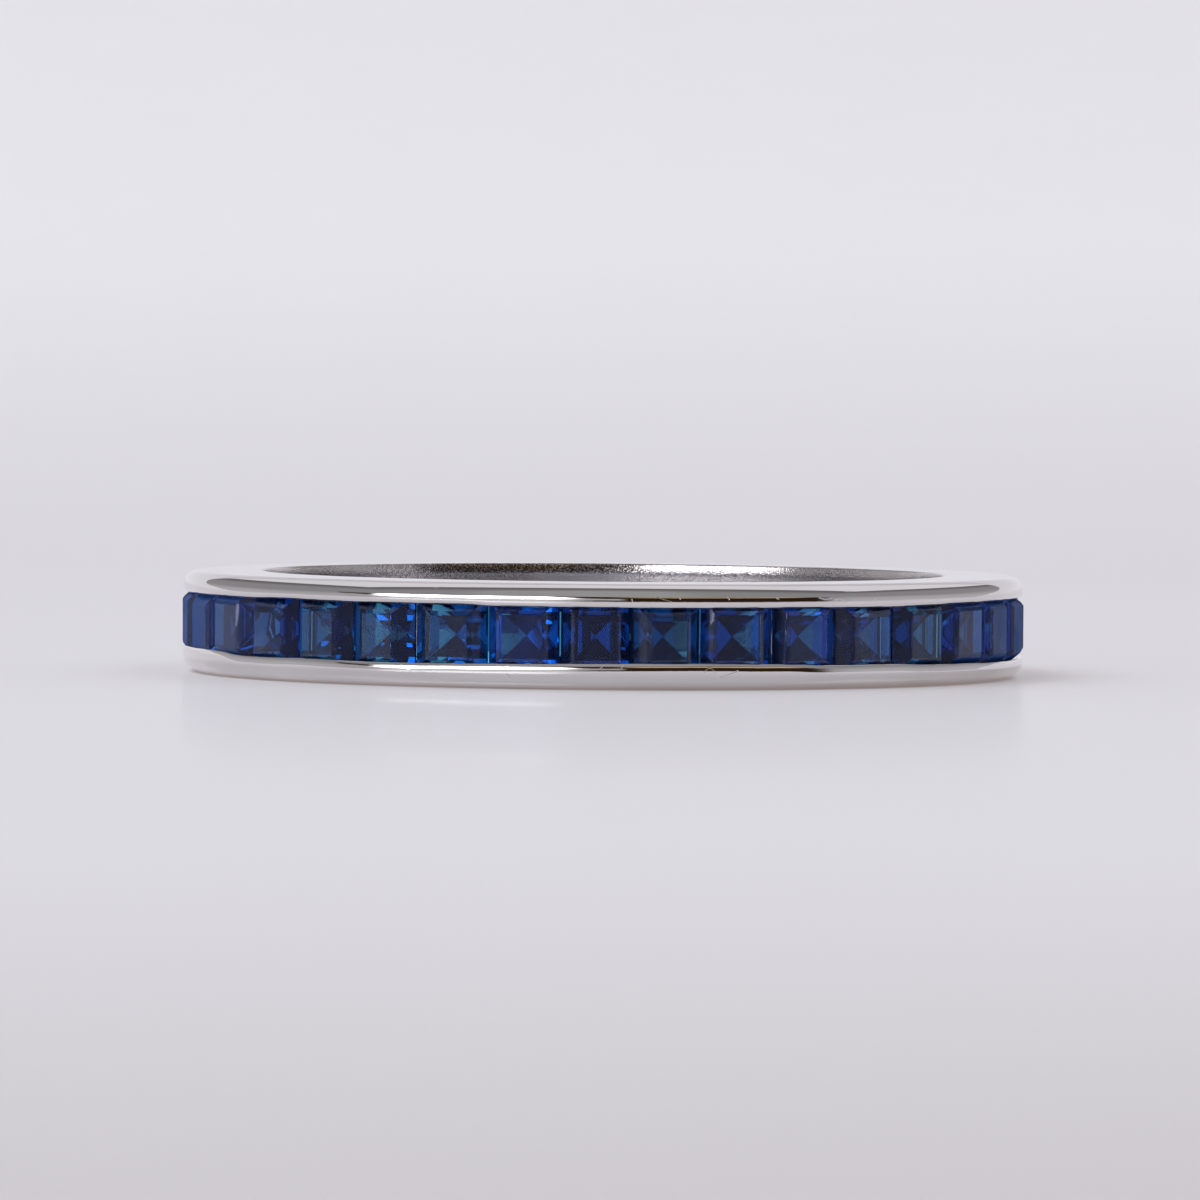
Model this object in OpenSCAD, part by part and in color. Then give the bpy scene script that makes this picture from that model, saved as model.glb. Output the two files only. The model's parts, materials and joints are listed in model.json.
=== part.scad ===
// Full eternity ring: a polished channel-set band that holds one row of square step-cut
// sapphires all the way round. It lies on its side. +Z runs along the finger, the origin is
// the centre of the side that it lies on, and -Y is the front. Lengths are in millimetres.

/* [Band] */
// Inside diameter of the finger bore
finger_bore_d = 16.5; // [15:0.1:20]
// Wall of the band, from the bore to the outermost line of the rails
band_thickness = 1.95; // [1.8:0.01:2.4]
// Width of the band along the finger
band_width = 2.45; // [2.2:0.01:3.2]
// Width of each rail, from its flat side to the lip over the stones
rail_width = 0.54; // [0.5:0.01:0.7]
// Rounding of each rail's outer corner
rail_corner_r = 0.29; // [0.15:0.01:0.3]
// Rounding of each rail's edge that is rubbed down over the stones
rail_lip_r = 0.2; // [0.12:0.01:0.2]
// Rounding of the bore's two edges
bore_edge_r = 0.1; // [0.05:0.01:0.2]

/* [Stones] */
// Number of stones round the band
stone_count = 36; // [30:1:40]
// How far each stone reaches under a lip
lip_overlap = 0.15; // [0.1:0.01:0.2]
// Height of the table over the girdle
crown_height = 0.36; // [0.3:0.01:0.4]
// Thickness of the girdle
girdle_thickness = 0.05; // [0.03:0.01:0.1]
// Depth of the pavilion, from the girdle to the culet
pavilion_depth = 0.78; // [0.6:0.01:0.85]
// How far the tables stand back from the rails' outermost line
table_setback = 0.01; // [0:0.01:0.05]
// Most that a stone leans out of true, in degrees
stone_lean = 0.5; // [0:0.1:0.6]
// Angle from the front to the seam after the ninth stone, in degrees
front_seam_deg = 3.6; // [0:0.1:9]

/* [Fits] */
// Gap between neighbouring stones at the girdle
stone_gap = 0.03; // [0.02:0.01:0.06]
// Gap between a stone and the seat that is cut for it
seat_clearance = 0.03; // [0.02:0.01:0.05]
// Gap between a culet and the channel's floor
culet_clearance = 0.05; // [0.04:0.01:0.1]
// Width of the bearing that each side of a stone sits on
bearing_width = 0.2; // [0.15:0.01:0.25]
// Length round the band of the light hole behind each stone
azure_along = 0.66; // [0.5:0.01:0.7]
// Length along the finger of the light hole behind each stone
azure_across = 0.96; // [0.6:0.01:1.1]

/* [Hidden] */
$fn = 96;

// How each stone was cut, in the order in which they lie round the band from the left end of the
// front. SPAN is the stone's share of the average pitch. The others say how far the table reaches
// from the stone's middle, as shares of the stone's half width: LEFT and RIGHT round the band,
// LOW and HIGH along the finger.
SPAN = 0; LEFT = 1; RIGHT = 2; LOW = 3; HIGH = 4;
cuts = [
    [1.00, 0.66, 0.62, 0.62, 0.60],
    [1.00, 0.66, 0.66, 0.64, 0.55],
    [1.00, 0.68, 0.64, 0.64, 0.63],
    [1.02, 0.48, 0.68, 0.62, 0.45],
    [1.02, 0.54, 0.53, 0.65, 0.55],
    [0.98, 0.50, 0.46, 0.64, 0.55],
    [1.04, 0.48, 0.57, 0.60, 0.54],
    [0.98, 0.63, 0.58, 0.64, 0.60],
    [0.93, 0.59, 0.70, 0.66, 0.60],
    [0.95, 0.45, 0.60, 0.62, 0.44],
    [1.02, 0.69, 0.54, 0.65, 0.62],
    [0.95, 0.70, 0.54, 0.66, 0.59],
    [1.02, 0.62, 0.59, 0.65, 0.52],
    [1.03, 0.62, 0.58, 0.65, 0.58],
    [1.00, 0.67, 0.64, 0.64, 0.64],
    [1.00, 0.66, 0.52, 0.65, 0.60],
    [1.00, 0.68, 0.66, 0.65, 0.63],
    [1.02, 0.58, 0.62, 0.60, 0.62]
];

// Where the crown and the pavilion break from one step to the next. RUN is the share of the way
// in from the girdle, and FALL is the share of the step's height that the outer facet takes.
RUN = 0; FALL = 1;
crown_break = [0.74, 0.82];
pavilion_break = [0.34, 0.46];

bore_r = finger_bore_d / 2;
outer_r = bore_r + band_thickness;
mid_z = band_width / 2;

table_r = outer_r - table_setback;
girdle_top_r = table_r - crown_height;
girdle_low_r = girdle_top_r - girdle_thickness;
culet_r = girdle_low_r - pavilion_depth;
floor_r = culet_r - culet_clearance;

window_half = mid_z - rail_width;
half_across = window_half + lip_overlap;

spans = [for (i = [0 : stone_count - 1]) cuts[i % len(cuts)][SPAN]];
function span_before(i) = i <= 0 ? 0 : span_before(i - 1) + spans[i - 1];
span_deg = 360 / span_before(stone_count);
first_seam_deg = -90 + front_seam_deg - span_before(9) * span_deg;
// The turn from the first seam to the middle of stone i.
function stone_turn(i) = (span_before(i) + spans[i] / 2) * span_deg;
function half_along(i) = girdle_low_r * tan(spans[i] * span_deg / 2) - stone_gap / 2;

// The seat clears the stones' corners, which stand farther out than their middles.
widest_half = max([for (i = [0 : stone_count - 1]) half_along(i)]);
widest_table = max([for (c = cuts) max(c[LOW], c[HIGH])]);
corner_rise = norm([girdle_top_r, widest_half]) - girdle_top_r;

function stone_name(i) = str("sapphire_", i < 9 ? "0" : "", i + 1);

// One rail's section in [radius, z]: flat side, rounded corner and rubbed-down lip.
module rail_section() {
    translate([bore_r + bore_edge_r, 0])
        square([outer_r - rail_corner_r - bore_r - bore_edge_r, rail_width]);
    translate([outer_r - 2 * rail_corner_r, rail_corner_r])
        square([2 * rail_corner_r, rail_width - rail_lip_r - rail_corner_r]);
    translate([bore_r + band_thickness / 2, rail_corner_r])
        square([band_thickness / 2 - rail_lip_r, rail_width - rail_corner_r]);
    translate([outer_r - rail_corner_r, rail_corner_r]) circle(rail_corner_r);
    translate([outer_r - rail_lip_r, rail_width - rail_lip_r]) circle(rail_lip_r);
}

// The channel and the seat in [radius, z - mid_z], which follow the stones at a clearance.
module seat_section() {
    lift = corner_rise + seat_clearance;
    reach = half_across + seat_clearance;
    crown_run = half_across * (1 - widest_table);
    side = [
        [outer_r + 1, half_across * widest_table],
        [table_r + lift, half_across * widest_table],
        [girdle_top_r + lift + crown_height * crown_break[FALL],
            half_across - crown_run * crown_break[RUN]],
        [girdle_top_r + lift, reach],
        [girdle_low_r - seat_clearance, reach],
        [girdle_low_r - seat_clearance
            - bearing_width * pavilion_depth * pavilion_break[FALL]
                / (half_across * pavilion_break[RUN]), reach - bearing_width],
        [floor_r, reach - bearing_width]
    ];
    polygon(concat(side, [for (i = [len(side) - 1 : -1 : 0]) [side[i][0], -side[i][1]]]));
    translate([table_r - crown_height, -window_half])
        square([crown_height + table_setback + 1, 2 * window_half]);
}

module band_section() {
    difference() {
        union() {
            rail_section();
            translate([0, band_width]) mirror([0, 1]) rail_section();
            translate([bore_r, bore_edge_r])
                square([band_thickness / 2, band_width - 2 * bore_edge_r]);
            translate([bore_r + band_thickness / 4, rail_width / 2])
                square([girdle_low_r - bore_r - band_thickness / 4, band_width - rail_width]);
            for (z = [bore_edge_r, band_width - bore_edge_r])
                translate([bore_r + bore_edge_r, z]) circle(bore_edge_r);
        }
        translate([0, mid_z]) seat_section();
    }
}

// The metal in one piece: both rails, the floor between them, and a light hole behind each stone.
module channel_band() {
    color([0.80, 0.80, 0.82]) rotate([0, 0, first_seam_deg]) difference() {
        rotate_extrude() band_section();
        for (i = [0 : stone_count - 1])
            rotate([0, 0, stone_turn(i)])
                translate([bore_r - 1, -azure_along / 2, mid_z - azure_across / 2])
                    cube([floor_r - bore_r + 1 + seat_clearance, azure_along, azure_across]);
    }
}

// The four corners of one level of a stone: [x0, x1] round the band, [y0, y1] along the finger.
function level(r, x0, x1, y0, y1) = [[r, x0, y0], [r, x1, y0], [r, x1, y1], [r, x0, y1]];

// One square step-cut stone, looking out along +X with its girdle round the origin's axis:
// a table, two steps of crown facets, a girdle, one pavilion step and four mains to the culet.
module step_cut(along, across, cut) {
    tx0 = -along * cut[LEFT];
    tx1 = along * cut[RIGHT];
    ty0 = -across * cut[LOW];
    ty1 = across * cut[HIGH];
    cr = crown_break[RUN];
    pr = 1 - pavilion_break[RUN];
    points = concat(
        level(table_r, tx0, tx1, ty0, ty1),
        level(girdle_top_r + crown_height * crown_break[FALL],
            -along + (along + tx0) * cr, along - (along - tx1) * cr,
            -across + (across + ty0) * cr, across - (across - ty1) * cr),
        level(girdle_top_r, -along, along, -across, across),
        level(girdle_low_r, -along, along, -across, across),
        level(girdle_low_r - pavilion_depth * pavilion_break[FALL],
            -along * pr, along * pr, -across * pr, across * pr),
        [[culet_r, 0, 0]]
    );
    table = [[0, 3, 2, 1]];
    steps = [for (l = [0 : 3], s = [0 : 3])
        [4 * l + s, 4 * l + (s + 1) % 4, 4 * l + 4 + (s + 1) % 4, 4 * l + 4 + s]];
    mains = [for (s = [0 : 3]) [16 + s, 16 + (s + 1) % 4, 20]];
    polyhedron(points, concat(table, steps, mains));
}

// One stone in its seat. Each leans a little its own way about the middle of its girdle.
module sapphire(i) {
    blue = 0.45 + 0.12 * sin(97 * i);
    color([0.05, 0.16 + 0.06 * cos(61 * i), blue])
        rotate([0, 0, first_seam_deg + stone_turn(i)]) translate([girdle_low_r, 0, mid_z])
            rotate([0, stone_lean * sin(83 * i + 20), stone_lean * sin(131 * i)])
                translate([-girdle_low_r, 0, 0])
                    step_cut(half_along(i), half_across, cuts[i % len(cuts)]);
}

channel_band();
for (i = [0 : stone_count - 1])
    sapphire(i);
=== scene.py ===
"""A full eternity ring lying on its side: a polished channel band and square step-cut blue stones."""

import json
import math

import bmesh
import bpy
from mathutils import Matrix, Vector


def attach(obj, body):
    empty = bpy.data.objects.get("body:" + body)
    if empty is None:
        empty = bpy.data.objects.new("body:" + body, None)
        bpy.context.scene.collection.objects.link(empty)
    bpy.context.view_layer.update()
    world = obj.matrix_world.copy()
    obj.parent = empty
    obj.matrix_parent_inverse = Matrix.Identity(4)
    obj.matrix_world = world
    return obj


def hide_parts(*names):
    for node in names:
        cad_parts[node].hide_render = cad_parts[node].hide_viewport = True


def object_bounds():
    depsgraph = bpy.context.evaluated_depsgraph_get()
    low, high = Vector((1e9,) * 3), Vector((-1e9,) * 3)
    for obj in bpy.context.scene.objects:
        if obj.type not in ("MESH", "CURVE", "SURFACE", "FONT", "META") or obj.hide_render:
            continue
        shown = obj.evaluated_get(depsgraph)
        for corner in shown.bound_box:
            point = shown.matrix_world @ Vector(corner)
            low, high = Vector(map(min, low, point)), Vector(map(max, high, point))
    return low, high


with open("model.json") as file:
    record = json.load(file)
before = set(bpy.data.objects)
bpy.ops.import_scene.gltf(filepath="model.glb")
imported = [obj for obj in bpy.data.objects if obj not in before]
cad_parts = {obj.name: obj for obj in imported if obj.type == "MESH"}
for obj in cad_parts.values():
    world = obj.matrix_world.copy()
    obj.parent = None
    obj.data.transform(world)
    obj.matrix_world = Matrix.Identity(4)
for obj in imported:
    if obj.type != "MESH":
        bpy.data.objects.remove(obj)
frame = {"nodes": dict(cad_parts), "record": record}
cad_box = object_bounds()

# Sizes in millimetres, from the frame where it has them
MM = 0.001
BODY = "root"
STONES = [name for name in sorted(frame["nodes"]) if name.startswith("sapphire_")]
BAND_POINTS = [v.co / MM for v in frame["nodes"]["channel_band"].data.vertices]
BORE_R = next(m for m in frame["record"]["mounts"] if m["name"] == "finger_bore")["dims"]["r_mm"]
OUTER_R = min(abs(side) for corner in cad_box for side in corner[:2]) / MM
BAND_WIDTH = max(p.z for p in BAND_POINTS)

# The visible rails, as the finger file and the polishing mop left them. Each is a chain of arcs,
# [radius, first and last angle of its outward normal], from the flat side over the nearly flat
# barrel down to the lip that holds the stones. 90 is the flat side and 0 is straight outwards.
UPPER_RAIL = [(0.345, 90.0, 5.5), (1.31, 5.5, 0.0), (0.14, 0.0, -90.0)]
LOWER_RAIL = [(0.42, 90.0, 0.0), (1.31, 0.0, -4.5), (0.62, -4.5, -12.5), (0.035, -12.5, -90.0)]
# How far the hammer left each lip from that line, away from the stones: [bearing in degrees from
# the front, right positive; millimetres]
UPPER_LIP = [(-180, 0.03), (-140, 0.05), (-100, 0.03), (-68, 0.045), (-56, 0.04), (-48, 0.065), (-41, 0.043),
             (-31, 0.04), (-22, 0.042), (-16, 0.017), (-9, 0.003), (0, 0.0), (10, -0.006), (22, 0.0),
             (31, 0.003), (38, -0.003), (47, 0.01), (55, 0.036), (62, 0.044), (68, 0.055), (90, 0.04),
             (125, 0.02), (155, 0.04), (180, 0.03)]
LOWER_LIP = [(-180, 0.04), (-130, 0.02), (-90, 0.0), (-68, -0.013), (-60, 0.035), (-53, 0.068), (-45, 0.05),
             (-36, 0.063), (-30, 0.07), (-21, 0.05), (-12, 0.038), (-3, 0.018), (10, 0.005), (20, 0.018),
             (27, 0.036), (32, 0.062), (40, 0.06), (46, 0.09), (52, 0.106), (60, 0.118), (70, 0.14),
             (95, 0.10), (140, 0.06), (180, 0.04)]
BORE_EDGE_R = 0.04
BORE_FLARE_R = 2.1
BORE_FLARE_DEG = 6.0
ARC_STEP_DEG = 4.0
SHORTEST_ARC = 4
FLAT_STEPS = 6

# The channel under the stones, as [radius, distance from the middle of the band]
SEAT = [(9.90, 0.865), (9.75, 0.865), (9.497, 0.665), (8.95, 0.665)]
AZURE_ALONG = 0.66
AZURE_ACROSS = 0.96
AZURE_CORNER_R = 0.10
TURNS = 480


class Wire:
    """One output of a node. Python's operators on it add Math nodes to its tree."""

    def __init__(self, plan, socket):
        self.plan = plan
        self.socket = socket

    def __add__(self, other):
        return self.plan.math("ADD", self, other)

    def __radd__(self, other):
        return self.plan.math("ADD", other, self)

    def __sub__(self, other):
        return self.plan.math("SUBTRACT", self, other)

    def __rsub__(self, other):
        return self.plan.math("SUBTRACT", other, self)

    def __mul__(self, other):
        return self.plan.math("MULTIPLY", self, other)

    def __rmul__(self, other):
        return self.plan.math("MULTIPLY", other, self)

    def __truediv__(self, other):
        return self.plan.math("DIVIDE", self, other)

    def __rtruediv__(self, other):
        return self.plan.math("DIVIDE", other, self)

    def __mod__(self, other):
        return self.plan.math("MODULO", self, other)

    def __neg__(self):
        return self.plan.math("MULTIPLY", self, -1.0)

    def __abs__(self):
        return self.plan.math("ABSOLUTE", self)

    def __gt__(self, other):
        return self.plan.math("GREATER_THAN", self, other)

    def __lt__(self, other):
        return self.plan.math("LESS_THAN", self, other)


class Plan:
    """A node tree that is being drawn."""

    def __init__(self, tree):
        self.tree = tree
        tree.nodes.clear()

    def node(self, kind, settings=None, sockets=None, out=0):
        """Adds one node: its settings first, then its sockets. Gives the output or outputs named by out."""
        made = self.tree.nodes.new(kind)
        for key, value in (settings or {}).items():
            if key == "line":
                self.set_line(made.mapping, value)
            else:
                setattr(made, key, value)
        for key, value in (sockets or {}).items():
            self.feed(made.inputs[key], value)
        if out is None:
            return made
        if isinstance(out, tuple):
            return [Wire(self, made.outputs[o]) for o in out]
        return Wire(self, made.outputs[out])

    def feed(self, socket, value):
        if isinstance(value, Wire):
            self.tree.links.new(value.socket, socket)
        elif isinstance(value, tuple) and len(value) == 3 and socket.type == "RGBA":
            socket.default_value = (*value, 1.0)
        else:
            socket.default_value = value

    @staticmethod
    def set_line(mapping, points):
        line = mapping.curves[0].points
        while len(line) < len(points):
            line.new(0.5, 0.5)
        for knot, place in zip(line, points):
            knot.location = place
        mapping.update()

    def math(self, operation, *values):
        return self.node("ShaderNodeMath", {"operation": operation}, dict(enumerate(values)))

    def vector(self, operation, *values):
        return self.node("ShaderNodeVectorMath", {"operation": operation}, dict(enumerate(values)))

    def join(self, x, y, z):
        return self.node("ShaderNodeCombineXYZ", sockets={"X": x, "Y": y, "Z": z})

    def split(self, vector):
        return self.node("ShaderNodeSeparateXYZ", sockets={"Vector": vector}, out=("X", "Y", "Z"))

    def rise(self, value, start, end):
        """0 before start and 1 after end, with a smooth way up between them."""
        sockets = {"Value": value, "From Min": start, "From Max": end}
        return self.node("ShaderNodeMapRange", {"interpolation_type": "SMOOTHSTEP"}, sockets)

    def within(self, value, low, high, soft):
        """1 between low and high, fading to 0 over the width soft outside them."""
        return self.rise(value, low - soft, low) * (1.0 - self.rise(value, high, high + soft))

    def through(self, value, points):
        """The height at value of the smooth line through points, a list of (value, height) pairs."""
        lows = [min(axis) for axis in zip(*points)]
        spans = [max(axis) - low for axis, low in zip(zip(*points), lows)]
        line = [tuple((p - low) / span for p, low, span in zip(point, lows, spans)) for point in points]
        height = self.node("ShaderNodeFloatCurve", {"line": line}, {"Value": (value - lows[0]) / spans[0]})
        return height * spans[1] + lows[1]

    def mix(self, factor, a, b):
        """The colour a where factor is 0 and b where it is 1."""
        return self.node("ShaderNodeMix", {"data_type": "RGBA"}, {0: factor, 6: a, 7: b}, out=2)

    def noise(self, place, scale, detail=2.0, roughness=0.5):
        sockets = {"Vector": place, "Scale": scale, "Detail": detail, "Roughness": roughness}
        return self.node("ShaderNodeTexNoise", sockets=sockets)


def new_material(name):
    material = bpy.data.materials.new(name)
    material.use_nodes = True
    return material, Plan(material.node_tree)


# Camera: the photograph's viewing angle, a long lens just above the floor
CAMERA_DISTANCE = 183.6
CAMERA_HEIGHT = 7.35
CAMERA_DOWN_DEG = 1.74
CAMERA_LEFT_DEG = 0.024
CAMERA_ROLL_DEG = 0.47
LENS = 226.7


def make_camera():
    data = bpy.data.cameras.new("camera")
    data.lens = LENS
    data.sensor_width = 36.0
    data.clip_start = 0.01
    data.clip_end = 3.0
    camera = bpy.data.objects.new("camera", data)
    turn = Matrix.Rotation(math.radians(CAMERA_LEFT_DEG), 4, "Z")
    tip = Matrix.Rotation(math.radians(90.0 - CAMERA_DOWN_DEG), 4, "X")
    roll = Matrix.Rotation(math.radians(CAMERA_ROLL_DEG), 4, "Z")
    place = Matrix.Translation(Vector((0.0, -CAMERA_DISTANCE, CAMERA_HEIGHT)) * MM)
    camera.matrix_world = place @ turn @ tip @ roll
    bpy.context.scene.collection.objects.link(camera)
    bpy.context.scene.camera = camera


make_camera()
bpy.context.scene.view_settings.view_transform = "Standard"

# Studio: a roll of paper under and behind the ring, on a table of the same colour in a soft room
PAPER_HALF_WIDTH = 305.0
PAPER_FRONT = -600.0
PAPER_BEND_START = 90.0
PAPER_BEND_R = 500.0
PAPER_TOP = 900.0
PAPER_DROP = 0.003
TABLE_HALF_WIDTH = 1300.0
TABLE_DROP = 0.5
# The paper's colours: in the open, darker close to the camera as painted shade, paler up the wall as painted
# light, its mottling, and a painted glow, an emission that stands in for light from below
PAPER_TONE = (0.54, 0.575, 0.645)
PAPER_NEAR_SHADE = (0.268, 0.281, 0.310)
PAPER_WALL_LIT = (0.765, 0.812, 0.895)
PAPER_MOTTLE = (0.57, 0.56, 0.61)
PAPER_PAINTED_GLOW = (0.20, 0.16, 0.145, 1.0)
# Its sheens, the soft one and the sharp one, each as (colour, roughness, share of the light)
SHEENS = [((0.90, 0.90, 0.90), 0.24, 0.16), ((1.0, 1.0, 1.0), 0.06, 0.042)]


def paper_line():
    """The paper's side view as (y, z) points: flat, then a wide bend up to the wall behind."""
    points = [(PAPER_FRONT, 0.0)]
    for step in range(41):
        angle = math.radians(90.0 * step / 40)
        y = PAPER_BEND_START + PAPER_BEND_R * math.sin(angle)
        points.append((y, PAPER_BEND_R * (1.0 - math.cos(angle))))
    points.append((PAPER_BEND_START + PAPER_BEND_R, PAPER_TOP))
    return points


def paper_material():
    """Pale lavender-grey paper with a soft and a sharp sheen. It has a warm painted glow of its own, an
    emission that stands in for light from below and keeps shadows on it warm. Its darkening near the camera
    is painted shade, and its paler wall is painted light."""
    material, plan = new_material("pale_paper")
    place = plan.node("ShaderNodeTexCoord", out="Object")
    x, y, z = plan.split(place)
    # Painted shade: the paper darkens towards the camera, and more so on the right.
    near_shade = 1.0 - plan.rise(y, -0.145, -0.060)
    right = plan.rise(x, -0.012, 0.022) * 0.18 + 0.82
    mottle = plan.noise(place, 160.0, 2.0)
    tone = plan.mix(near_shade * right, PAPER_TONE, PAPER_NEAR_SHADE)
    # Painted light: the paper turns paler as it rises into the wall.
    tone = plan.mix(plan.rise(z, -0.0045, 0.016), tone, PAPER_WALL_LIT)
    shade = plan.mix((mottle - 0.5) * 0.06 + 0.05, tone, PAPER_MOTTLE)
    fibre = plan.noise(place, 2600.0, 3.0)
    bump = plan.node("ShaderNodeBump", sockets={"Strength": 0.10, "Distance": 0.00002, "Height": fibre})
    # Painted glow: the paper's emission lifts and warms its shadows; there is no lamp under it.
    matt = plan.node("ShaderNodeBsdfPrincipled", sockets={
        "Base Color": shade, "Roughness": 0.45, "Specular IOR Level": 0.0, "Normal": bump,
        "Emission Color": PAPER_PAINTED_GLOW, "Emission Strength": 1.0})
    skin = matt
    for colour, roughness, share in SHEENS:
        sheen = plan.node("ShaderNodeBsdfGlossy", sockets={"Color": colour, "Roughness": roughness})
        skin = plan.node("ShaderNodeMixShader", sockets={0: share, 1: skin, 2: sheen})
    plan.node("ShaderNodeOutputMaterial", sockets={"Surface": skin}, out=None)
    return material


def make_sheet(name, line, half_width, drop, material):
    """A sheet that follows line, a list of (y, z) points, and is 2 * half_width wide."""
    mesh = bpy.data.meshes.new(name)
    points = [(side * half_width * MM, y * MM, (z - drop) * MM) for side in (-1, 1) for y, z in line]
    count = len(line)
    mesh.from_pydata(points, [], [(i, count + i, count + i + 1, i + 1) for i in range(count - 1)])
    mesh.shade_smooth()
    mesh.materials.append(material)
    sheet = bpy.data.objects.new(name, mesh)
    bpy.context.scene.collection.objects.link(sheet)


# What the polished rails mirror, as heights and bearings in degrees from the front, right positive
PANEL_FRONT_SLOPE = 0.05
PANEL_LEFT_SLOPE = -0.95
PANEL_RIGHT_SLOPE = 1.15
WINDOW = (-71.0, 4.0)
DARK_TABLE = (-16.0, 58.0)
TABLE_TOP_LEFT = 15.5
TABLE_TOP_DROP = 2.5
ROOM = (0.275, 0.27, 0.28)
ROOM_FRONT = (0.34, 0.335, 0.34)
ROOM_SIDES = (0.47, 0.46, 0.48)
FLOOR_EDGE = (0.62, 0.61, 0.64)
PANEL = (0.76, 0.755, 0.78)
PANEL_RIM = (0.15, 0.142, 0.15)
TABLE_SIDE = (0.050, 0.030, 0.018)
TABLE_FOOT = (0.026, 0.013, 0.008)
GILT = (0.85, 0.60, 0.32)
WINDOW_FRAME = (0.06, 0.05, 0.055)
WINDOW_DIM = 0.40
WINDOW_GLARE = 6.0
# Where the room's smaller parts are, each as (low, high, softness) in degrees
FRONT_BEARINGS = (-32.0, 18.0, 16.0)
GILT_HEIGHTS = (9.9, 11.6, 0.5)
GILT_BEARINGS = (12.0, 50.0, 10.0)
CURL_HEIGHTS = (8.5, 12.0, 1.0)
CURL_BEARINGS = (-76.0, -67.0, 3.0)
FRAME_HEIGHTS = (12.6, 13.2, 0.6)
FRAME_BEARINGS = (-72.0, -34.0, 8.0)
# The light on matt things, from in front and from behind, and what the camera sees past the paper
SOFT_FRONT = (0.25, 0.242, 0.24)
SOFT_BACK = (1.12, 1.09, 1.08)
BEYOND_PAPER = (0.80, 0.79, 0.84)


def make_room():
    """The light that comes from each direction: a pale panel overhead with a dark rim, a grey room,
    and low down in front a bright window on the left and a dark table with a gilt edge on the right."""
    world = bpy.data.worlds.new("soft_room")
    world.use_nodes = True
    plan = Plan(world.node_tree)
    x, y, z = plan.split(plan.node("ShaderNodeTexCoord", out="Generated"))
    height = plan.math("ARCSINE", z) * math.degrees(1.0)
    bearing = plan.math("ARCTAN2", x, -y) * math.degrees(1.0)
    up = plan.math("MAXIMUM", z, 0.001)
    outside = plan.math("MAXIMUM", PANEL_LEFT_SLOPE - x / up, x / up - PANEL_RIGHT_SLOPE)
    outside = plan.math("MAXIMUM", outside, -y / up - PANEL_FRONT_SLOPE)
    front = plan.within(bearing, *FRONT_BEARINGS)
    room = plan.mix(front, ROOM, ROOM_FRONT)
    sides = plan.rise(abs(bearing + 2.0), 58.0, 76.0) * (1.0 - plan.rise(height, 1.0, 15.0))
    room = plan.mix(sides, room, ROOM_SIDES)
    room = plan.mix(1.0 - plan.rise(outside, 0.10, 0.70), room, PANEL_RIM)
    light = plan.mix(1.0 - plan.rise(outside, -0.06, 0.04), room, PANEL)
    top = TABLE_TOP_LEFT - TABLE_TOP_DROP * plan.rise(bearing, 32.0, 62.0)
    dark = (1.0 - plan.rise(height, top - 3.0, top)) * plan.within(bearing, *DARK_TABLE, 8.0)
    light = plan.mix(dark, light, TABLE_SIDE)
    darkest = (1.0 - plan.rise(height, 8.0, 10.0)) * plan.within(bearing, *DARK_TABLE, 8.0)
    light = plan.mix(darkest, light, TABLE_FOOT)
    gilt = plan.within(height, *GILT_HEIGHTS) * plan.within(bearing, *GILT_BEARINGS)
    light = plan.mix(gilt, light, GILT)
    taper = plan.rise(bearing, -20.0, 1.0)
    pane = plan.within(height, -2.0 + 6.0 * taper, 11.5 - 5.5 * taper, 1.2)
    pane = pane * plan.within(bearing, *WINDOW, 3.0)
    glare = plan.rise(bearing, -68.0, -54.0) * (1.0 - plan.rise(bearing, -18.0, -4.0))
    brightness = WINDOW_DIM + WINDOW_GLARE * glare * (0.04 + 0.96 * plan.rise(height, 4.5, 6.0))
    light = plan.mix(pane, light, plan.join(brightness, brightness * 0.985, brightness * 1.01))
    curl = plan.within(height + (bearing + 70.0) * 0.3, *CURL_HEIGHTS)
    curl = curl * plan.within(bearing, *CURL_BEARINGS)
    frame_line = plan.within(bearing, *FRAME_BEARINGS) * plan.within(height, *FRAME_HEIGHTS)
    curl = plan.math("MAXIMUM", curl, frame_line * 0.8)
    light = plan.mix(curl, light, WINDOW_FRAME)
    light = plan.mix(1.0 - plan.rise(height, 0.4, 1.4), light, FLOOR_EDGE)
    seen, scattered = plan.node("ShaderNodeLightPath", out=("Is Camera Ray", "Is Diffuse Ray"))
    soft = plan.mix(plan.rise(y, -0.7, 0.5), SOFT_FRONT, SOFT_BACK)
    light = plan.mix(scattered, light, soft)
    light = plan.mix(seen, light, BEYOND_PAPER)
    sky = plan.node("ShaderNodeBackground", sockets={"Color": light, "Strength": 1.0})
    plan.node("ShaderNodeOutputWorld", sockets={"Surface": sky}, out=None)
    bpy.context.scene.world = world


LAMP_BEARING_DEG = -48.0
LAMP_HEIGHT_DEG = 48.0
LAMP_DISTANCE = 900.0
LAMP_SIZE = 700.0
LAMP_POWER = 2.8


def make_lamp():
    """A wide soft lamp high in front on the left, which the metal and the stones don't mirror."""
    data = bpy.data.lights.new("left_lamp", "AREA")
    data.shape = "DISK"
    data.size = LAMP_SIZE * MM
    data.energy = LAMP_POWER
    data.color = (0.95, 0.97, 1.0)
    lamp = bpy.data.objects.new("left_lamp", data)
    bearing, height = math.radians(LAMP_BEARING_DEG), math.radians(LAMP_HEIGHT_DEG)
    towards = Vector((math.sin(bearing) * math.cos(height), -math.cos(bearing) * math.cos(height),
                      math.sin(height)))
    lamp.location = towards * LAMP_DISTANCE * MM
    lamp.rotation_euler = towards.to_track_quat("Z", "Y").to_euler()
    lamp.visible_glossy = False
    bpy.context.scene.collection.objects.link(lamp)


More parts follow.
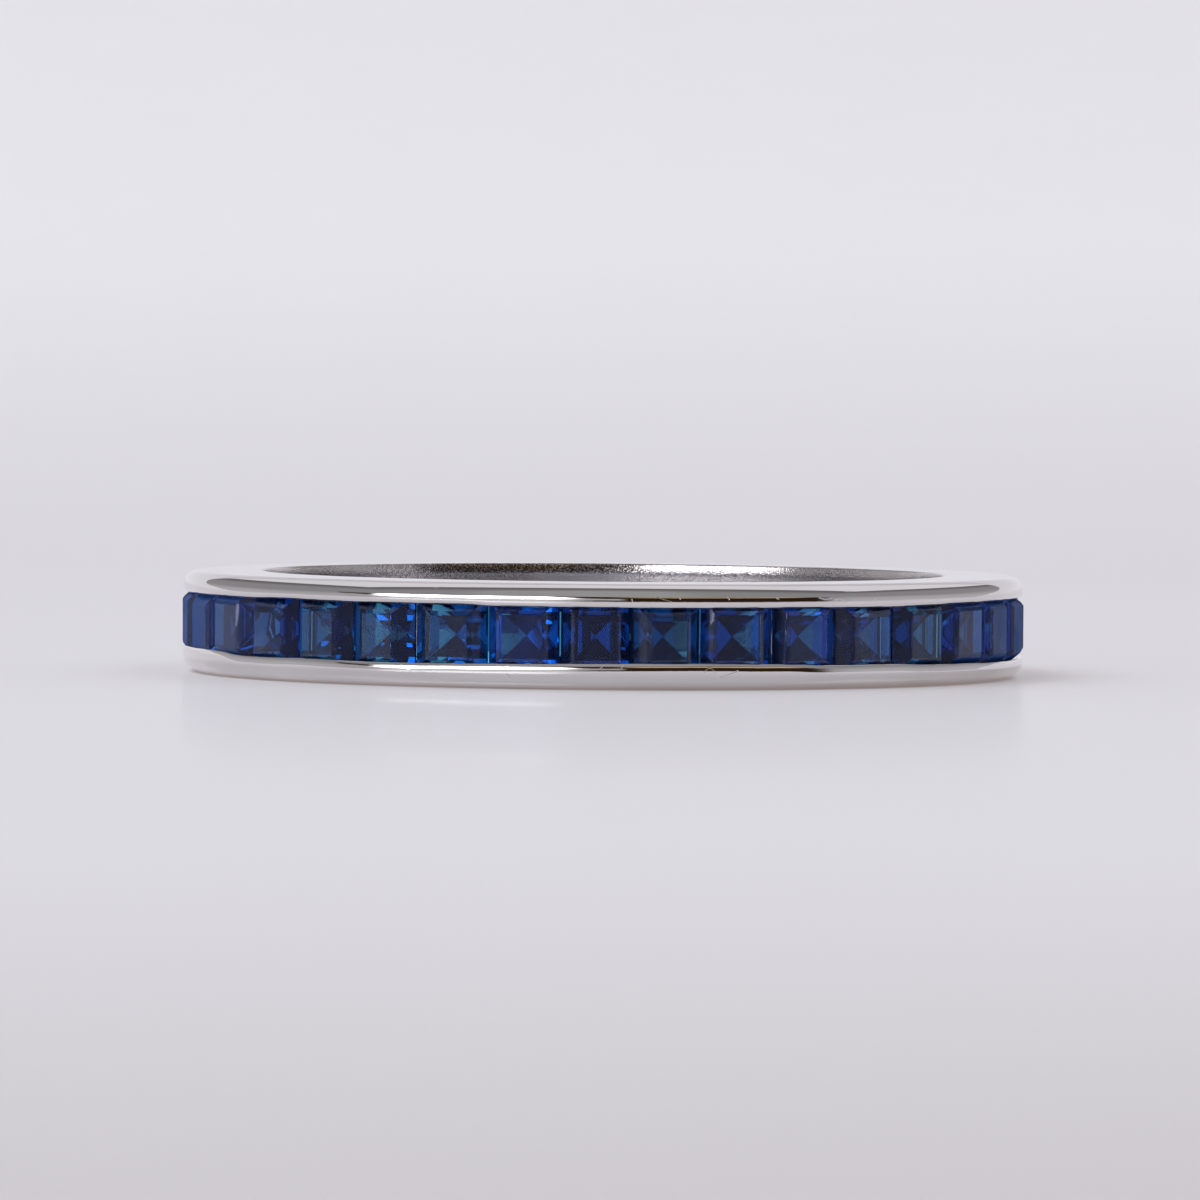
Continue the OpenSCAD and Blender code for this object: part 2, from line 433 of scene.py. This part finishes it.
pale_paper = paper_material()
make_sheet("paper_sweep", paper_line(), PAPER_HALF_WIDTH, PAPER_DROP, pale_paper)
make_sheet("table_top", [(-TABLE_HALF_WIDTH, 0.0), (TABLE_HALF_WIDTH, 0.0)], TABLE_HALF_WIDTH,
           TABLE_DROP, pale_paper)
make_room()
make_lamp()


# The band: its section is drawn once and turned round the finger by Geometry Nodes
def arc(points, radius, start_deg, end_deg, centre):
    """Adds the points of an arc whose outward normal turns from start_deg to end_deg."""
    steps = max(SHORTEST_ARC, math.ceil(abs(end_deg - start_deg) / ARC_STEP_DEG))
    for step in range(steps + 1):
        angle = math.radians(start_deg + (end_deg - start_deg) * step / steps)
        points.append((centre[0] + radius * math.cos(angle), centre[1] + radius * math.sin(angle)))


def rail_line(rail):
    """One rail as (radius, depth) points from its flat side (depth 0) down to its lip's end."""
    points = []
    x, y = 0.0, 0.0
    for radius, start_deg, end_deg in rail:
        start = math.radians(start_deg)
        arc(points, radius, start_deg, end_deg, (x - radius * math.cos(start), y - radius * math.sin(start)))
        x, y = points[-1]
    outermost = max(point[0] for point in points)
    return [(OUTER_R + x - outermost, y) for x, y in points]


def spread(start, end, steps):
    """Evenly spaced points from start up to, but without, end."""
    return [tuple(a + (b - a) * i / steps for a, b in zip(start, end)) for i in range(steps)]


def bore_edge():
    """The bore's edge as (distance out from the bore, depth) points, from the side to the wall.
    The polishing mop has opened the wall a little before the edge."""
    points = []
    arc(points, BORE_EDGE_R, 90.0, 180.0 - BORE_FLARE_DEG, (0.0, -BORE_EDGE_R))
    x, y = points[-1]
    turn = math.radians(180.0 - BORE_FLARE_DEG)
    arc(points, BORE_FLARE_R, 180.0 - BORE_FLARE_DEG, 180.0,
        (x - BORE_FLARE_R * math.cos(turn), y - BORE_FLARE_R * math.sin(turn)))
    wall = points[-1][0]
    return [(x - wall, -y) for x, y in points]


def band_section():
    """The whole section as a closed loop of (radius, height) points, the same way round as the arcs."""
    middle = BAND_WIDTH / 2
    upper = [(r, BAND_WIDTH + depth) for r, depth in rail_line(UPPER_RAIL)]
    lower = [(r, -depth) for r, depth in reversed(rail_line(LOWER_RAIL))]
    edge = bore_edge()
    bore_edges = {
        "top": [(BORE_R + out, BAND_WIDTH - depth) for out, depth in reversed(edge)],
        "bottom": [(BORE_R + out, depth) for out, depth in edge],
    }
    points = []
    points += spread(bore_edges["bottom"][-1], bore_edges["top"][0], 3 * FLAT_STEPS)
    points += bore_edges["top"]
    points += spread(bore_edges["top"][-1], upper[0], FLAT_STEPS)[1:]
    points += upper
    points += [(r, middle + across) for r, across in SEAT]
    points += spread((SEAT[-1][0], middle + SEAT[-1][1]), (SEAT[-1][0], middle - SEAT[-1][1]), FLAT_STEPS)[1:]
    points += [(r, middle - across) for r, across in reversed(SEAT)]
    points += lower
    points += spread(lower[-1], bore_edges["bottom"][0], FLAT_STEPS)[1:]
    points += bore_edges["bottom"][:-1]
    loop = []
    for point in points:
        if not loop or math.dist(point, loop[-1]) > 1e-5:
            loop.append(point)
    return loop


def stone_places():
    """An object with one point behind each stone, in the middle of the band's inner wall."""
    wall_r = (BORE_R + SEAT[-1][0]) / 2
    places = []
    for name in STONES:
        points = [v.co for v in frame["nodes"][name].data.vertices]
        outward = (sum(points, Vector()) / len(points)).xy.normalized()
        places.append((outward.x * wall_r, outward.y * wall_r, BAND_WIDTH / 2))
    holder = bpy.data.objects.new("stone_places", line_mesh("stone_places", places))
    bpy.context.scene.collection.objects.link(holder)
    return holder


def line_mesh(name, points):
    """A mesh of loose points joined in a row."""
    mesh = bpy.data.meshes.new(name)
    mesh.from_pydata([Vector(p) for p in points], [(i, i + 1) for i in range(len(points) - 1)], [])
    return mesh


class ShapePlan(Plan):
    """A Geometry Nodes tree with named inputs, which make() sets on one object's modifier."""

    KINDS = {float: "NodeSocketFloat", int: "NodeSocketInt"}

    def __init__(self, name, **values):
        tree = bpy.data.node_groups.new(name, "GeometryNodeTree")
        super().__init__(tree)
        tree.interface.new_socket("Geometry", in_out="INPUT", socket_type="NodeSocketGeometry")
        tree.interface.new_socket("Geometry", in_out="OUTPUT", socket_type="NodeSocketGeometry")
        self.values = {}
        for key, value in values.items():
            kind = self.KINDS.get(type(value)) or self.kind_of(value)
            socket = tree.interface.new_socket(key.replace("_", " "), in_out="INPUT", socket_type=kind)
            self.values[socket.identifier] = value
        self.start = self.tree.nodes.new("NodeGroupInput")

    @staticmethod
    def kind_of(value):
        return "NodeSocketMaterial" if isinstance(value, bpy.types.Material) else "NodeSocketObject"

    def value(self, key):
        return Wire(self, self.start.outputs[key.replace("_", " ")])

    def scale(self, vector, factor):
        return self.node("ShaderNodeVectorMath", {"operation": "SCALE"}, {"Vector": vector, "Scale": factor})

    def finish(self, shape):
        solid = self.node("GeometryNodeRealizeInstances", sockets={"Geometry": shape})
        done = self.node("GeometryNodeSetMaterial", sockets={
            "Geometry": solid, "Material": self.value("Material")})
        self.node("NodeGroupOutput", sockets={"Geometry": done}, out=None)

    def make(self, name, mesh):
        """Runs the tree on mesh and gives the result as a plain object."""
        carrier = bpy.data.objects.new(name + "_plan", mesh)
        bpy.context.scene.collection.objects.link(carrier)
        modifier = carrier.modifiers.new("plan", "NODES")
        modifier.node_group = self.tree
        for identifier, value in self.values.items():
            modifier[identifier] = value
        graph = bpy.context.evaluated_depsgraph_get()
        made = bpy.data.meshes.new_from_object(carrier.evaluated_get(graph))
        made.name = name
        carrier.modifiers.remove(modifier)
        for helper in [carrier] + [v for v in self.values.values() if isinstance(v, bpy.types.Object)]:
            bpy.data.objects.remove(helper)
        piece = bpy.data.objects.new(name, made)
        bpy.context.scene.collection.objects.link(piece)
        return piece


# Nicks and scratches on the front, each a row of (x, z) points in millimetres
METAL_MARKS = [
    [(-2.20, 0.37), (-2.11, 0.27)], [(-0.07, 0.48), (0.03, 0.58)], [(0.42, 0.49), (0.47, 0.56)],
    [(0.58, 0.16), (0.62, 0.03)], [(1.18, 0.20), (1.42, 0.07)], [(2.72, 0.33), (2.95, 0.40), (3.12, 0.46)],
    [(0.66, 2.10), (0.67, 2.03)], [(1.76, 2.14), (1.77, 2.11)], [(2.86, 2.15), (2.90, 2.10)],
    [(4.00, 2.13), (4.05, 2.11)], [(5.00, 2.13), (5.16, 2.09), (5.30, 2.12)],
    [(5.34, 2.07), (5.48, 2.10), (5.62, 2.05)], [(-4.40, 0.66), (-4.05, 0.60)],
]
SAPPHIRE_MARKS = [[(2.99, 0.72), (3.24, 0.76), (3.42, 0.88), (3.50, 1.02)], [(5.62, 1.10), (5.70, 1.00)],
                  [(-3.30, 1.28), (-3.18, 1.22)], [(-5.48, 1.32), (-5.30, 1.20)]]
# How wide a mark is, in millimetres
METAL_MARK_WIDTH = 0.013
SAPPHIRE_MARK_WIDTH = 0.016


def marks_mask(plan, place, marks, width):
    """1 along the marks and 0 away from them."""
    x, y, z = plan.split(place)
    flat = plan.join(x / MM, 0.0, z / MM)
    nearest = None
    for mark in marks:
        for start, end in zip(mark, mark[1:]):
            a = Vector((start[0], 0.0, start[1]))
            b = Vector((end[0], 0.0, end[1]))
            from_start = plan.vector("SUBTRACT", flat, tuple(a))
            along = plan.node("ShaderNodeVectorMath", {"operation": "DOT_PRODUCT"}, {
                0: from_start, 1: tuple((b - a) / (b - a).length_squared)}, out="Value")
            along = plan.node("ShaderNodeClamp", sockets={"Value": along})
            foot = plan.node("ShaderNodeVectorMath", {"operation": "SCALE"}, {
                0: tuple(b - a), "Scale": along})
            away = plan.node("ShaderNodeVectorMath", {"operation": "DISTANCE"}, {
                0: from_start, 1: foot}, out="Value")
            nearest = away if nearest is None else plan.math("MINIMUM", nearest, away)
    return (1.0 - plan.rise(nearest, width * 0.3, width)) * (y < 0.0)


# The metal's colours: clean, smudged, darkened in the bore as painted shade with a brushed speckle, and a
# dark speckle of painted shade high on the bore's back wall
METAL_CLEAN = (0.82, 0.80, 0.80)
METAL_SMUDGED = (0.79, 0.77, 0.77)
METAL_BORE_SHADE_AND_BRUSHING = (0.22, 0.185, 0.195)
METAL_SPECKLE_SHADE = (0.07, 0.055, 0.05)
# Where the dark speckle of painted shade shows inside the back of the bore, in metres along X, and from which
# height up
SPECKLE_SHADE_ALONG = (-0.0043, 0.0006)
SPECKLE_SHADE_HEIGHT = (0.00217, 0.00225)


def metal_material():
    """White metal: mirror-bright rails with fine wear, and a bore that was only brushed smooth, its colour
    darkened there as painted shade.
    """
    material, plan = new_material("polished_white_metal")
    place = plan.node("ShaderNodeTexCoord", out="Object")
    x, y, z = plan.split(place)
    radius = plan.math("SQRT", x * x + y * y)
    bore = 1.0 - plan.rise(radius, 0.00828, 0.00834)
    smudge = plan.noise(place, 420.0, 3.0)
    flare = bore * plan.rise(abs(z - BAND_WIDTH / 2 * MM), 0.00090, 0.00102)
    specks = plan.rise(plan.noise(place, 24000.0, 1.0), 0.47, 0.56)
    roughness = 0.012 + plan.rise(smudge, 0.45, 0.75) * 0.03 + bore * 0.20 - flare * (0.18 - specks * 0.14)
    tone = plan.mix(plan.rise(smudge, 0.4, 0.7), METAL_CLEAN, METAL_SMUDGED)
    brushed = plan.rise(plan.noise(place, 28000.0, 2.0), 0.44, 0.60)
    brushed = brushed * plan.rise(plan.noise(place, 380.0), 0.35, 0.60)
    # Painted shade: the bore's colour is darkened all over, and more along a brushed speckle.
    tone = plan.mix(bore * (0.22 + brushed * 0.50), tone, METAL_BORE_SHADE_AND_BRUSHING)
    # Painted shade: a dark speckle high on the back of the bore.
    speckle_shade = bore * plan.within(x, *SPECKLE_SHADE_ALONG, 0.0007) * (y > 0.0) * plan.rise(z, *SPECKLE_SHADE_HEIGHT)
    speckle_shade = speckle_shade * plan.rise(plan.noise(place, 30000.0, 1.0), 0.42, 0.52)
    tone = plan.mix(speckle_shade * 0.9, tone, METAL_SPECKLE_SHADE)
    pits = plan.noise(place, 9000.0, 2.0)
    peel = plan.noise(place, 21000.0, 2.0, 0.6)
    hairlines = 1.0 - plan.rise(abs(plan.noise(place, 1100.0, 1.0) - 0.5), 0.0, 0.006)
    hairlines = hairlines * plan.rise(plan.noise(place, 500.0), 0.48, 0.62)
    marks = marks_mask(plan, place, METAL_MARKS, METAL_MARK_WIDTH)
    roughness = roughness + marks * 0.12
    skin_pits = plan.node("ShaderNodeBump", sockets={
        "Strength": 1.0, "Distance": 0.000010, "Height": pits * 0.03 - hairlines * 0.05 - marks * 0.6})
    bump = plan.node("ShaderNodeBump", sockets={
        "Strength": 1.0, "Distance": 0.000005, "Height": peel * (bore * 0.2 + flare * 0.8),
        "Normal": skin_pits})
    skin = plan.node("ShaderNodeBsdfPrincipled", sockets={
        "Base Color": tone, "Metallic": 1.0, "Roughness": roughness, "Normal": bump})
    plan.node("ShaderNodeOutputMaterial", sockets={"Surface": skin}, out=None)
    return material


def turn_section(plan):
    """Turns the section's points round the finger and gives the skin its hand-finished waves."""
    section_points = plan.value("Section_Points")
    rows = plan.value("Turns") + 1.0
    size = {"Vertices X": section_points + 1.0, "Vertices Y": rows}
    sheet = plan.node("GeometryNodeMeshGrid", sockets=size, out="Mesh")
    index = plan.node("GeometryNodeInputIndex")
    column = plan.math("FLOOR", (index + 0.5) / rows) % section_points
    angle = (index % rows) / plan.value("Turns") * math.tau
    sample = plan.node("GeometryNodeSampleIndex", {"data_type": "FLOAT_VECTOR"}, {
        "Geometry": plan.value("Geometry"), "Value": plan.node("GeometryNodeInputPosition"), "Index": column})
    radius, unused, height = plan.split(sample)
    outward = plan.join(plan.math("COSINE", angle), plan.math("SINE", angle), 0.0)
    smooth = plan.vector("ADD", plan.scale(outward, radius), plan.join(0.0, 0.0, height))
    wave = plan.noise(smooth, 1.0 / plan.value("Wave_Length"), 1.0)
    dip = plan.rise(radius, 9.5, 10.0) * plan.rise(wave, 0.3, 0.8) * plan.value("Wave_Depth")
    bearing = (angle * math.degrees(1.0) + 270.0) % 360.0 - 180.0
    across = height - plan.value("Band_Width") * 0.5
    upper = plan.rise(across, -0.1, 0.1)
    lip = (1.0 - plan.rise(abs(across), 0.70, 0.95)) * plan.rise(radius, 9.85, 9.95)
    wobble = plan.noise(smooth, 1.0 / plan.value("Lip_Wobble_Length"), 2.0)
    wobble = (wobble * 2.0 - 1.0) * plan.value("Lip_Wobble")
    upper_lip = plan.through(bearing, UPPER_LIP) * upper
    lower_lip = plan.through(bearing, LOWER_LIP) * (upper - 1.0)
    shift = (upper_lip + lower_lip + wobble) * lip
    worn = plan.vector("ADD", plan.scale(outward, radius - dip), plan.join(0.0, 0.0, height + shift))
    shaped = plan.node("GeometryNodeSetPosition", sockets={"Geometry": sheet, "Position": worn})
    return plan.node("GeometryNodeMergeByDistance", sockets={"Geometry": shaped, "Distance": 0.0005})


def light_holes(plan):
    """One cutter with rounded corners through the wall behind each stone."""
    places = plan.node("GeometryNodeObjectInfo", sockets={
        "Object": plan.value("Stone_Places")}, out="Geometry")
    half = plan.value("Hole_Depth") * 0.5
    path = plan.node("GeometryNodeCurvePrimitiveLine", sockets={
        "Start": plan.join(-half, 0.0, 0.0), "End": plan.join(half, 0.0, 0.0)})
    outline = plan.node("GeometryNodeCurvePrimitiveQuadrilateral", sockets={
        "Width": plan.value("Hole_Along"), "Height": plan.value("Hole_Across")})
    rounded = plan.node("GeometryNodeFilletCurve", {"mode": "POLY"}, {
        "Curve": outline, "Count": 4, "Radius": plan.value("Hole_Corner"), "Limit Radius": True})
    cutter = plan.node("GeometryNodeCurveToMesh", sockets={
        "Curve": path, "Profile Curve": rounded, "Fill Caps": True})
    place = plan.node("GeometryNodeInputPosition")
    turn = plan.node("FunctionNodeAlignRotationToVector", {"axis": "X"}, {
        "Vector": plan.vector("MULTIPLY", place, (1.0, 1.0, 0.0))})
    return plan.node("GeometryNodeInstanceOnPoints", sockets={
        "Points": places, "Instance": cutter, "Rotation": turn})


def make_band(metal):
    plan = ShapePlan(
        "turned_band", Turns=TURNS, Section_Points=len(SECTION), Band_Width=BAND_WIDTH,
        Wave_Depth=0.006, Wave_Length=2.2, Lip_Wobble=0.008, Lip_Wobble_Length=0.7,
        Hole_Along=AZURE_ALONG, Hole_Across=AZURE_ACROSS, Hole_Corner=AZURE_CORNER_R,
        Hole_Depth=2 * (SEAT[-1][0] - BORE_R), Stone_Places=stone_places(), Material=metal)
    skin = turn_section(plan)
    pierced = plan.node("GeometryNodeMeshBoolean", {"operation": "DIFFERENCE", "solver": "MANIFOLD"}, {
        "Mesh 1": skin, "Mesh 2": light_holes(plan)}, out="Mesh")
    bend = plan.node("GeometryNodeInputMeshEdgeAngle", out="Unsigned Angle")
    edged = plan.node("GeometryNodeStoreNamedAttribute", {"data_type": "BOOLEAN", "domain": "EDGE"}, {
        "Geometry": pierced, "Name": "sharp_edge", "Value": bend > math.radians(35.0)})
    smooth = plan.node("GeometryNodeSetShadeSmooth", sockets={"Geometry": edged, "Shade Smooth": True})
    real_size = plan.node("GeometryNodeTransform", sockets={"Geometry": smooth, "Scale": (MM, MM, MM)})
    plan.finish(real_size)
    band = plan.make("channel_band_polished", line_mesh("band_section", [(r, 0.0, z) for r, z in SECTION]))
    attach(band, BODY)
    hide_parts("channel_band")
    return band


SECTION = band_section()
make_band(metal_material())

# The stones: each is its own solid from the frame with finely rubbed facet edges
FACET_EDGE = 0.008
PAVILION_R = 9.75
# Depth of colour: what each millimetre of stone takes out of red, green and blue light, and the
# colour of the fine silk in it
BRIGHT = (3.0, 1.10, 0.34), (0.010, 0.070, 0.36)
ROYAL = (3.0, 1.30, 0.42), (0.015, 0.055, 0.24)
AZURE = (3.1, 1.22, 0.57), (0.016, 0.060, 0.21)
SLATE = (2.6, 1.27, 0.47), (0.024, 0.064, 0.22)
TINTED = {BRIGHT: (8, 27), ROYAL: (4, 12, 15, 21), AZURE: (5, 6, 7, 10, 14, 32)}
TINTS = {f"sapphire_{number:02d}": tint for tint, numbers in TINTED.items() for number in numbers}
SAPPHIRE_IOR = 1.77
# Dims what the stones' outer faces mirror, which keeps their tables dark as in the photo
SURFACE_TINT = (0.30, 0.31, 0.46, 1.0)
# The worn polish on the facets that are turned a little away, as (colour, roughness, share of the light)
WORN_POLISH = ((0.62, 0.74, 0.98), 0.32, 0.038)


def sapphire_material(name, taken, silk_colour):
    """Clear blue stone with a little silk. Its colour is in its depth: a short way through looks pale."""
    material, plan = new_material(name)
    place = plan.node("ShaderNodeTexCoord", out="Object")
    haze = plan.noise(place, 5200.0, 3.0)
    marks = marks_mask(plan, place, SAPPHIRE_MARKS, SAPPHIRE_MARK_WIDTH)
    bump = plan.node("ShaderNodeBump", sockets={
        "Strength": 1.0, "Distance": 0.000012, "Height": haze * 0.004 - marks})
    clear = plan.node("ShaderNodeBsdfPrincipled", sockets={
        "Base Color": (1.0, 1.0, 1.0), "Roughness": 0.01, "IOR": SAPPHIRE_IOR, "Transmission Weight": 1.0,
        "Specular Tint": SURFACE_TINT, "Normal": bump})
    silk = plan.node("ShaderNodeBsdfDiffuse", sockets={"Color": silk_colour})
    share = 0.07 + plan.rise(plan.noise(place, 1500.0, 3.0), 0.42, 0.68) * 0.08
    inside = plan.node("ShaderNodeNewGeometry", out="Backfacing")
    slant = plan.node("ShaderNodeLayerWeight", sockets={"Blend": 0.5}, out="Facing")
    share = share + plan.rise(slant, 0.45, 0.80) * (1.0 - inside) * 0.80
    skin = plan.node("ShaderNodeMixShader", sockets={0: share, 1: clear, 2: silk})
    colour, roughness, most = WORN_POLISH
    polish = plan.node("ShaderNodeBsdfGlossy", sockets={"Color": colour, "Roughness": roughness})
    turned = plan.rise(slant, 0.04, 0.15) * (1.0 - plan.rise(slant, 0.40, 0.65)) * (1.0 - inside)
    skin = plan.node("ShaderNodeMixShader", sockets={0: turned * most, 1: skin, 2: polish})
    strongest = max(taken)
    depth = plan.node("ShaderNodeVolumeAbsorption", sockets={
        "Color": tuple(1.0 - part / strongest for part in taken), "Density": strongest / MM})
    plan.node("ShaderNodeOutputMaterial", sockets={"Surface": skin, "Volume": depth}, out=None)
    return material


def cut_stone(name, material):
    """A copy of the frame's stone with its facets joined up and the edges of its crown rubbed."""
    solid = bmesh.new()
    solid.from_mesh(frame["nodes"][name].data)
    bmesh.ops.scale(solid, vec=(1.0 / MM,) * 3, verts=solid.verts)
    bmesh.ops.remove_doubles(solid, verts=solid.verts, dist=0.0002)
    bmesh.ops.dissolve_limit(solid, angle_limit=math.radians(0.4), verts=solid.verts, edges=solid.edges)
    worn = [e for e in solid.edges if min(v.co.xy.length for v in e.verts) > PAVILION_R]
    bmesh.ops.bevel(solid, geom=worn, offset=FACET_EDGE, segments=1, affect="EDGES", clamp_overlap=True)
    bmesh.ops.scale(solid, vec=(MM,) * 3, verts=solid.verts)
    bmesh.ops.recalc_face_normals(solid, faces=solid.faces)
    mesh = bpy.data.meshes.new("cut_" + name)
    solid.to_mesh(mesh)
    solid.free()
    mesh.materials.append(material)
    stone = bpy.data.objects.new("cut_" + name, mesh)
    bpy.context.scene.collection.objects.link(stone)
    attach(stone, BODY)
    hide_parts(name)
    return stone


sapphires = {
    BRIGHT: sapphire_material("sapphire_bright", *BRIGHT),
    ROYAL: sapphire_material("sapphire_royal", *ROYAL),
    AZURE: sapphire_material("sapphire_azure", *AZURE),
    SLATE: sapphire_material("sapphire_slate", *SLATE),
}
for stone_name in STONES:
    cut_stone(stone_name, sapphires[TINTS.get(stone_name, SLATE)])
